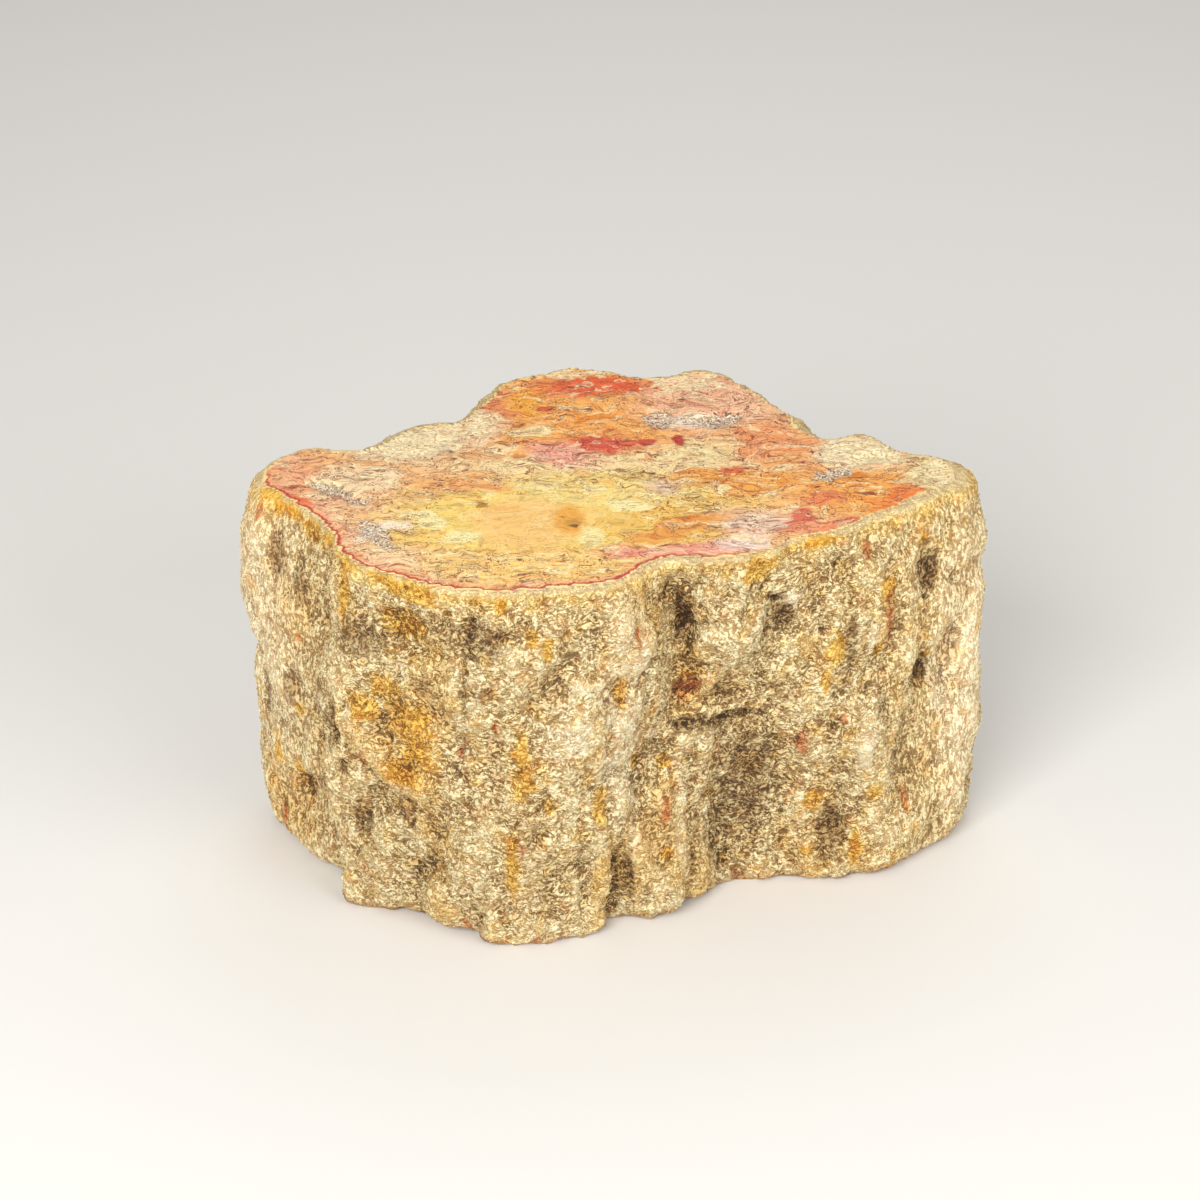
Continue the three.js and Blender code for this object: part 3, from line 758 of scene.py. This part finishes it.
def front_rim(tree, place, rim, colour):
    """A crimson line just inside the front edge with a blush behind it, and cream rind outside it."""
    x = add(tree, "ShaderNodeSeparateXYZ", {0: place}, out="X")
    y = add(tree, "ShaderNodeSeparateXYZ", {0: place}, out="Y")
    forward = add(
        tree, "ShaderNodeMapRange", {"Value": y, "From Min": 4.0, "From Max": -14.0},
        interpolation_type="SMOOTHSTEP",
    )
    leftward = add(
        tree, "ShaderNodeMapRange", {"Value": x, "From Min": 64.0, "From Max": 2.0},
        interpolation_type="SMOOTHSTEP",
    )
    front = add(tree, "ShaderNodeMath", {0: forward, 1: leftward}, operation="MULTIPLY")
    uneven = add(
        tree, "ShaderNodeTexNoise", {"Vector": place, "Scale": 1 / 5, "Detail": 4.0, "Roughness": 0.65},
    )
    inside = add(tree, "ShaderNodeMath", {0: uneven, 1: -5.0, 2: rim}, operation="MULTIPLY_ADD")
    blush = add(
        tree, "ShaderNodeMapRange", {"Value": inside, "From Min": 3.6, "From Max": 0.0, "To Max": 0.24},
        interpolation_type="SMOOTHSTEP",
    )
    blushing = add(tree, "ShaderNodeMath", {0: blush, 1: front}, operation="MULTIPLY")
    colour = add(tree, "ShaderNodeMix", {0: blushing, 6: colour, 7: "f08e6c"}, data_type="RGBA", out=2)
    outer = add(
        tree, "ShaderNodeMapRange", {"Value": inside, "From Min": -1.9, "From Max": -1.3},
        interpolation_type="SMOOTHSTEP",
    )
    inner = add(
        tree, "ShaderNodeMapRange", {"Value": inside, "From Min": -0.2, "From Max": -1.0},
        interpolation_type="SMOOTHSTEP",
    )
    line = add(tree, "ShaderNodeMath", {0: outer, 1: inner}, operation="MULTIPLY")
    drawn = add(tree, "ShaderNodeMath", {0: line, 1: front}, operation="MULTIPLY")
    colour = add(tree, "ShaderNodeMix", {0: drawn, 6: colour, 7: "b43a2c"}, data_type="RGBA", out=2)
    rind = add(
        tree, "ShaderNodeMapRange", {"Value": inside, "From Min": -1.4, "From Max": -2.1, "To Max": 0.9},
        interpolation_type="SMOOTHSTEP",
    )
    return add(tree, "ShaderNodeMix", {0: rind, 6: colour, 7: "f6da90"}, data_type="RGBA", out=2)


def ragged_area(tree, place, area, low, most):
    """An area kept on the mesh, its edge made ragged."""
    field = add(tree, "ShaderNodeAttribute", attribute_name=area, out="Fac")
    uneven = add(
        tree, "ShaderNodeTexNoise", {"Vector": place, "Scale": 1 / 4, "Detail": 4.0, "Roughness": 0.65},
    )
    centred = add(tree, "ShaderNodeMath", {0: uneven, 1: 0.5}, operation="SUBTRACT")
    ragged = add(tree, "ShaderNodeMath", {0: centred, 1: 2.6, 2: field}, operation="MULTIPLY_ADD")
    return add(
        tree, "ShaderNodeMapRange",
        {"Value": ragged, "From Min": low, "From Max": low + 0.7, "To Max": most},
        interpolation_type="SMOOTHSTEP",
    )


def polished_agate():
    """Sawn and polished agate: opaque jasper colours with a low sheen, dull where it is broken."""
    material, tree, place = start_material("sawn_polished_agate", True)
    rim = add(tree, "ShaderNodeAttribute", attribute_name="rim", out="Fac")
    colour = front_rim(tree, place, rim, agate_colour(tree, place))

    # Pockets lined with crystals: white grains with grey-brown gaps
    crystals = add(
        tree, "ShaderNodeTexNoise",
        {"Vector": place, "Scale": 1 / 0.9, "Detail": 2.0, "Roughness": 0.7, "Distortion": 0.8},
    )
    druse = add(
        tree, "ShaderNodeValToRGB", {0: crystals},
        stops=((0.38, "5a463a"), (0.46, "a08872"), (0.53, "e0ccb0"), (0.62, "fdf3e0")),
    )
    lined = ragged_area(tree, place, "pocket", 0.2, 0.8)
    colour = add(tree, "ShaderNodeMix", {0: lined, 6: colour, 7: druse}, data_type="RGBA", out=2)

    # Parts that were left rough: chalky, with brown grains
    dust = add(
        tree, "ShaderNodeTexNoise", {"Vector": place, "Scale": 1 / 1.3, "Detail": 3.0, "Roughness": 0.65},
    )
    chalk = add(
        tree, "ShaderNodeValToRGB", {0: dust},
        stops=((0.34, "a4733a"), (0.44, "ecce90"), (0.54, "fff4cc")),
    )
    worn = ragged_area(tree, place, "crumbly", 0.3, 0.7)
    colour = add(tree, "ShaderNodeMix", {0: worn, 6: colour, 7: chalk}, data_type="RGBA", out=2)

    broken = add(tree, "ShaderNodeMath", {0: lined, 1: worn}, operation="MAXIMUM")
    roughness = add(tree, "ShaderNodeMath", {0: broken, 1: 0.4, 2: 0.38}, operation="MULTIPLY_ADD")
    fine = add(tree, "ShaderNodeTexNoise", {"Vector": place, "Scale": 1 / 1.2, "Detail": 3.0})
    depth = add(tree, "ShaderNodeMath", {0: broken, 1: 1.0, 2: 0.05}, operation="MULTIPLY_ADD")
    height = add(tree, "ShaderNodeMath", {0: fine, 1: depth}, operation="MULTIPLY")
    finish_material(tree, {
        "Base Color": colour,
        "Roughness": roughness,
        "IOR": 1.54,
        "Specular IOR Level": 0.18,
        "Normal": add(tree, "ShaderNodeBump", {"Strength": 1.0, "Distance": MM, "Height": height}),
    })
    return material


def sawn_foot():
    """Agate straight from the saw: the same colours under pale stone dust, matt, with saw marks."""
    material, tree, place = start_material("unpolished_sawn_agate", True)
    colour = add(
        tree, "ShaderNodeMix", {0: 0.45, 6: agate_colour(tree, place), 7: "d8cbb0"},
        data_type="RGBA", out=2,
    )
    marks = add(
        tree, "ShaderNodeTexWave", {"Vector": place, "Scale": 0.16, "Distortion": 1.5, "Detail": 2.0},
        bands_direction="DIAGONAL", out=1,
    )
    finish_material(tree, {
        "Base Color": colour,
        "Roughness": 0.75,
        "IOR": 1.54,
        "Normal": add(tree, "ShaderNodeBump", {"Strength": 0.4, "Distance": MM, "Height": marks}),
    })
    return material


def bark_tone(tree, place):
    """The tone, dark in the creases and pale on the crumbs, partly dirt and partly painted shade and light,
    with the grains and the lumps behind it.
    """
    # Crumbs a little wider than high, which run into upright fibres at both ends of the stump
    lying = add(
        tree, "ShaderNodeMapping", {"Vector": warped(tree, place, 7, (5, 5, 5)), "Scale": (1.35, 1.35, 1)},
        vector_type="TEXTURE",
    )
    crumbs = add(
        tree, "ShaderNodeTexNoise",
        {"Vector": lying, "Scale": 1 / 1.0, "Detail": 3.0, "Roughness": 0.65, "Distortion": 0.8},
    )
    upright = add(
        tree, "ShaderNodeMapping", {"Vector": warped(tree, place, 9, (4, 4, 2)), "Scale": (1, 1, 2.7)},
        vector_type="TEXTURE",
    )
    fibres = add(
        tree, "ShaderNodeTexNoise",
        {"Vector": upright, "Scale": 1 / 1.1, "Detail": 3.0, "Roughness": 0.62, "Distortion": 0.4},
    )
    side = add(tree, "ShaderNodeSeparateXYZ", {0: place}, out="X")
    outward = add(tree, "ShaderNodeMath", {0: side}, operation="ABSOLUTE")
    ends = add(
        tree, "ShaderNodeMapRange", {"Value": outward, "From Min": 72.0, "From Max": 104.0, "To Max": 0.6},
        interpolation_type="SMOOTHSTEP",
    )
    grains = add(tree, "ShaderNodeMix", {0: ends, 2: crumbs, 3: fibres})

    # Thin winding dark creases between the crumbs, partly dirt and partly painted shade, and broader lumps
    tone = add(tree, "ShaderNodeMath", {0: grains, 1: 1.05}, operation="MULTIPLY")
    creases = contour(tree, grains, 0.47, 0.05)
    tone = add(tree, "ShaderNodeMath", {0: creases, 1: -0.14, 2: tone}, operation="MULTIPLY_ADD")
    lumps = add(tree, "ShaderNodeTexNoise", {"Vector": place, "Scale": 1 / 6, "Detail": 2.0})
    centred = add(tree, "ShaderNodeMath", {0: lumps, 1: 0.5}, operation="SUBTRACT")
    tone = add(tree, "ShaderNodeMath", {0: centred, 1: 0.16, 2: tone}, operation="MULTIPLY_ADD")
    # Paler where the bark stands out and darker where it sinks: painted light and shade, partly dirt. The
    # pale stains lift the tone and the grey patches of painted shade lower it
    for name, share in (
        ("standing_fine", 0.055),
        ("standing_broad", 0.03),
        ("pale", 0.05),
        ("grey", -0.045),
    ):
        field = add(tree, "ShaderNodeAttribute", attribute_name=name, out="Fac")
        tone = add(tree, "ShaderNodeMath", {0: field, 1: share, 2: tone}, operation="MULTIPLY_ADD")
    return tone, grains, centred


def weathered_bark():
    """Silica bark, weathered: matt cream and tan crumbs with olive-brown dirt and painted shade between them.
    """
    material, tree, place = start_material("weathered_silica_bark", False)
    tone, grains, lumps = bark_tone(tree, place)
    colour = add(
        tree, "ShaderNodeValToRGB", {0: tone},
        stops=(
            (0.28, "4c3820"), (0.38, "906e40"), (0.47, "ccac72"), (0.56, "eed89e"), (0.68, "fcf3cc"),
        ),
    )

    # Changes of tint: over some 3 cm between cream and grey, and over 6 mm yellow and pink crumbs
    tall = add(
        tree, "ShaderNodeMapping", {"Vector": place, "Scale": (1, 1, 1.8)}, vector_type="TEXTURE",
    )
    broad = add(tree, "ShaderNodeTexNoise", {"Vector": tall, "Scale": 1 / 24, "Detail": 2.0})
    yellow = add(
        tree, "ShaderNodeTexNoise", {"Vector": place, "Scale": 1 / 7, "Detail": 5.0, "Roughness": 0.7},
    )
    pink = add(
        tree, "ShaderNodeTexNoise", {"Vector": place, "Scale": 1 / 5, "Detail": 5.0, "Roughness": 0.7},
    )
    for pattern, low, high, most, tint in (
        (broad, 0.52, 0.66, 0.5, "ffe6ac"),
        (broad, 0.46, 0.34, 0.5, "e8ded0"),
        (yellow, 0.52, 0.62, 0.5, "ffe28c"),
        (pink, 0.54, 0.64, 0.5, "f6ccb0"),
    ):
        share = add(
            tree, "ShaderNodeMapRange", {"Value": pattern, "From Min": low, "From Max": high, "To Max": most},
            interpolation_type="SMOOTHSTEP",
        )
        colour = add(
            tree, "ShaderNodeMix", {0: share, 6: colour, 7: tint},
            data_type="RGBA", blend_type="MULTIPLY", out=2,
        )
    pale = add(tree, "ShaderNodeAttribute", attribute_name="pale", out="Fac")
    colour = add(
        tree, "ShaderNodeHueSaturation", {"Saturation": 0.86, "Value": 1.03, 3: pale, "Color": colour},
    )

    # A cream band under the rim, and chipped brown stone above the foot; then painted light along the top of
    # the bark
    height = add(tree, "ShaderNodeSeparateXYZ", {0: place}, out="Z")
    ragged = add(tree, "ShaderNodeMath", {0: lumps, 1: 14.0, 2: height}, operation="MULTIPLY_ADD")
    for low, high, most, tint in ((TOP - 8, TOP - 1, 0.8, "ffeeb4"), (4.0, 0.0, 0.6, "c08a60")):
        share = add(
            tree, "ShaderNodeMapRange", {"Value": ragged, "From Min": low, "From Max": high, "To Max": most},
            interpolation_type="SMOOTHSTEP",
        )
        colour = add(
            tree, "ShaderNodeMix", {0: share, 6: colour, 7: tint},
            data_type="RGBA", blend_type="MULTIPLY", out=2,
        )
    # The top 2 mm of bark are lifted towards cream: painted light against the shade on the rim's wall where
    # it is seen edge-on
    edge = add(
        tree, "ShaderNodeMapRange",
        {"Value": height, "From Min": TOP - 2.5, "From Max": TOP - 0.5, "To Max": 0.4},
        interpolation_type="SMOOTHSTEP",
    )
    colour = add(tree, "ShaderNodeMix", {0: edge, 6: colour, 7: "f4e4bc"}, data_type="RGBA", out=2)

    # Stains, and grey painted shade in the hollows, with edges broken up by the grain
    breaks = add(
        tree, "ShaderNodeTexNoise", {"Vector": place, "Scale": 1 / 4, "Detail": 6.0, "Roughness": 0.78},
    )
    patchy = add(tree, "ShaderNodeMath", {0: breaks, 1: 0.5}, operation="SUBTRACT")
    for name, tint, breaking, full in (
        ("grey", "beb2a6", 3.2, 1.3),
        ("ochre", "ffdf7c", 2.4, 0.9),
        ("rust", "e4a07c", 3.4, 1.1),
    ):
        field = add(tree, "ShaderNodeAttribute", attribute_name=name, out="Fac")
        spread = add(tree, "ShaderNodeMath", {0: patchy, 1: breaking, 2: field}, operation="MULTIPLY_ADD")
        share = add(
            tree, "ShaderNodeMapRange", {"Value": spread, "From Min": 0.1, "From Max": full, "To Max": 0.9},
            interpolation_type="SMOOTHSTEP",
        )
        colour = add(
            tree, "ShaderNodeMix", {0: share, 6: colour, 7: tint},
            data_type="RGBA", blend_type="MULTIPLY", out=2,
        )

    fine = add(tree, "ShaderNodeTexNoise", {"Vector": place, "Scale": 1 / 0.7, "Detail": 2.0})
    relief = add(tree, "ShaderNodeMath", {0: fine, 1: 0.5, 2: grains}, operation="MULTIPLY_ADD")
    finish_material(tree, {
        "Base Color": colour,
        "Roughness": 0.85,
        "IOR": 1.5,
        "Normal": add(tree, "ShaderNodeBump", {"Strength": 1.0, "Distance": 1.7 * MM, "Height": relief}),
    })
    return material


# Crumbs of stone on the bark

def crumb_tree(material):
    """Scatters small ten-faced crumbs over the bark, half sunk in it."""
    tree = bpy.data.node_groups.new("bark_crumbs", "GeometryNodeTree")
    face = tree.interface
    face.new_socket("Geometry", in_out="INPUT", socket_type="NodeSocketGeometry")
    face.new_socket("Crumb radius", in_out="INPUT", socket_type="NodeSocketFloat")
    face.new_socket("Crumbs per square metre", in_out="INPUT", socket_type="NodeSocketFloat")
    face.new_socket("Geometry", in_out="OUTPUT", socket_type="NodeSocketGeometry")
    points = add(
        tree, "GeometryNodeDistributePointsOnFaces",
        {
            "Mesh": add(tree, "NodeGroupInput", out="Geometry"),
            "Selection": add(
                tree, "GeometryNodeInputNamedAttribute", {"Name": "crumb_room"}, data_type="FLOAT",
            ),
            "Density": add(tree, "NodeGroupInput", out="Crumbs per square metre"),
            "Seed": 11,
        },
        out="Points",
    )
    crumb = add(
        tree, "GeometryNodeMeshUVSphere",
        {"Segments": 5, "Rings": 2, "Radius": add(tree, "NodeGroupInput", out="Crumb radius")},
        out="Mesh",
    )
    turn = add(
        tree, "FunctionNodeRandomValue", {1: (math.tau, math.tau, math.tau), "Seed": 3},
        data_type="FLOAT_VECTOR",
    )
    size = add(
        tree, "FunctionNodeRandomValue", {0: (0.5, 0.5, 0.4), 1: (1.4, 1.2, 0.9), "Seed": 5},
        data_type="FLOAT_VECTOR",
    )
    placed = add(
        tree, "GeometryNodeInstanceOnPoints",
        {"Points": points, "Instance": crumb, "Rotation": turn, "Scale": size},
    )
    joined = add(tree, "GeometryNodeRealizeInstances", {0: placed})
    coated = add(tree, "GeometryNodeSetMaterial", {"Geometry": joined, "Material": material})
    add(tree, "NodeGroupOutput", {"Geometry": coated})
    return tree


def scatter(name, ground, tree, sizes):
    """Runs a Geometry Nodes tree on a copy of the ground and keeps its result as a plain mesh."""
    holder = new_piece(name + "_ground", ground.copy())
    modifier = holder.modifiers.new(name, "NODES")
    modifier.node_group = tree
    for socket in tree.interface.items_tree:
        if socket.in_out == "INPUT" and socket.name in sizes:
            modifier[socket.identifier] = sizes[socket.name]
    mesh = plain_result(holder)
    bpy.data.objects.remove(holder)
    return new_piece(name, mesh)


# Light and floor

def soft_light(name, place, size, watts):
    """A square soft box that faces the middle of the stump."""
    light = bpy.data.lights.new(name, "AREA")
    light.size = size
    light.energy = watts
    lamp = bpy.data.objects.new(name, light)
    lamp.location = place
    towards = Vector((0, 0, TOP * MM / 2)) - Vector(place)
    lamp.rotation_euler = towards.to_track_quat("-Z", "Y").to_euler()
    bpy.context.scene.collection.objects.link(lamp)


def studio_paper():
    """A roll of background paper: pale, matt and without a highlight."""
    material, tree, _ = start_material("matt_studio_paper", False)
    finish_material(tree, {"Base Color": FLOOR_COLOUR, "Roughness": 0.9})
    return material


def studio():
    """A plain pale floor, soft lights and the camera."""
    mesh = bpy.data.meshes.new("floor")
    corners = [(x * FLOOR_REACH, y * FLOOR_REACH, 0) for x, y in ((-1, -1), (1, -1), (1, 1), (-1, 1))]
    mesh.from_pydata(corners, [], [(0, 1, 2, 3)])
    mesh.materials.append(studio_paper())
    floor = new_piece("floor", mesh)

    for name, place, size, watts in SOFT_BOXES:
        soft_light(name, place, size, watts)
    world = bpy.data.worlds.new("pale_room")
    world.use_nodes = True
    room = world.node_tree.nodes["Background"].inputs
    room["Color"].default_value = linear(ROOM_COLOUR)
    room["Strength"].default_value = ROOM_LIGHT
    bpy.context.scene.world = world
    bpy.context.scene.view_settings.view_transform = "Standard"

    camera = bpy.data.cameras.new("camera")
    camera.lens = LENS
    viewer = bpy.data.objects.new("camera", camera)
    viewer.location = EYE
    viewer.rotation_euler = (math.radians(90 - LOOKS_DOWN), 0, 0)
    bpy.context.scene.collection.objects.link(viewer)
    bpy.context.scene.camera = viewer


def dress_stump():
    """The stone in place of its solid, and the loose-looking crumbs fixed on its bark."""
    bark = weathered_bark()
    mesh = fine_surface()
    weather_stone(mesh)
    give_materials(mesh, bark, polished_agate(), sawn_foot())
    simplify_foot(mesh)
    mesh.shade_smooth()
    mesh.set_sharp_from_angle(angle=math.radians(SHARP_EDGE))
    stone = new_piece("petrified_stone", mesh)
    crumbs = scatter(
        "bark_crumbs", mesh, crumb_tree(bark),
        {"Crumb radius": CRUMB_RADIUS * MM, "Crumbs per square metre": CRUMB_DENSITY},
    )
    for piece in (stone, crumbs):
        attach(piece, "root")
        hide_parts(NODE)


studio()
dress_stump()
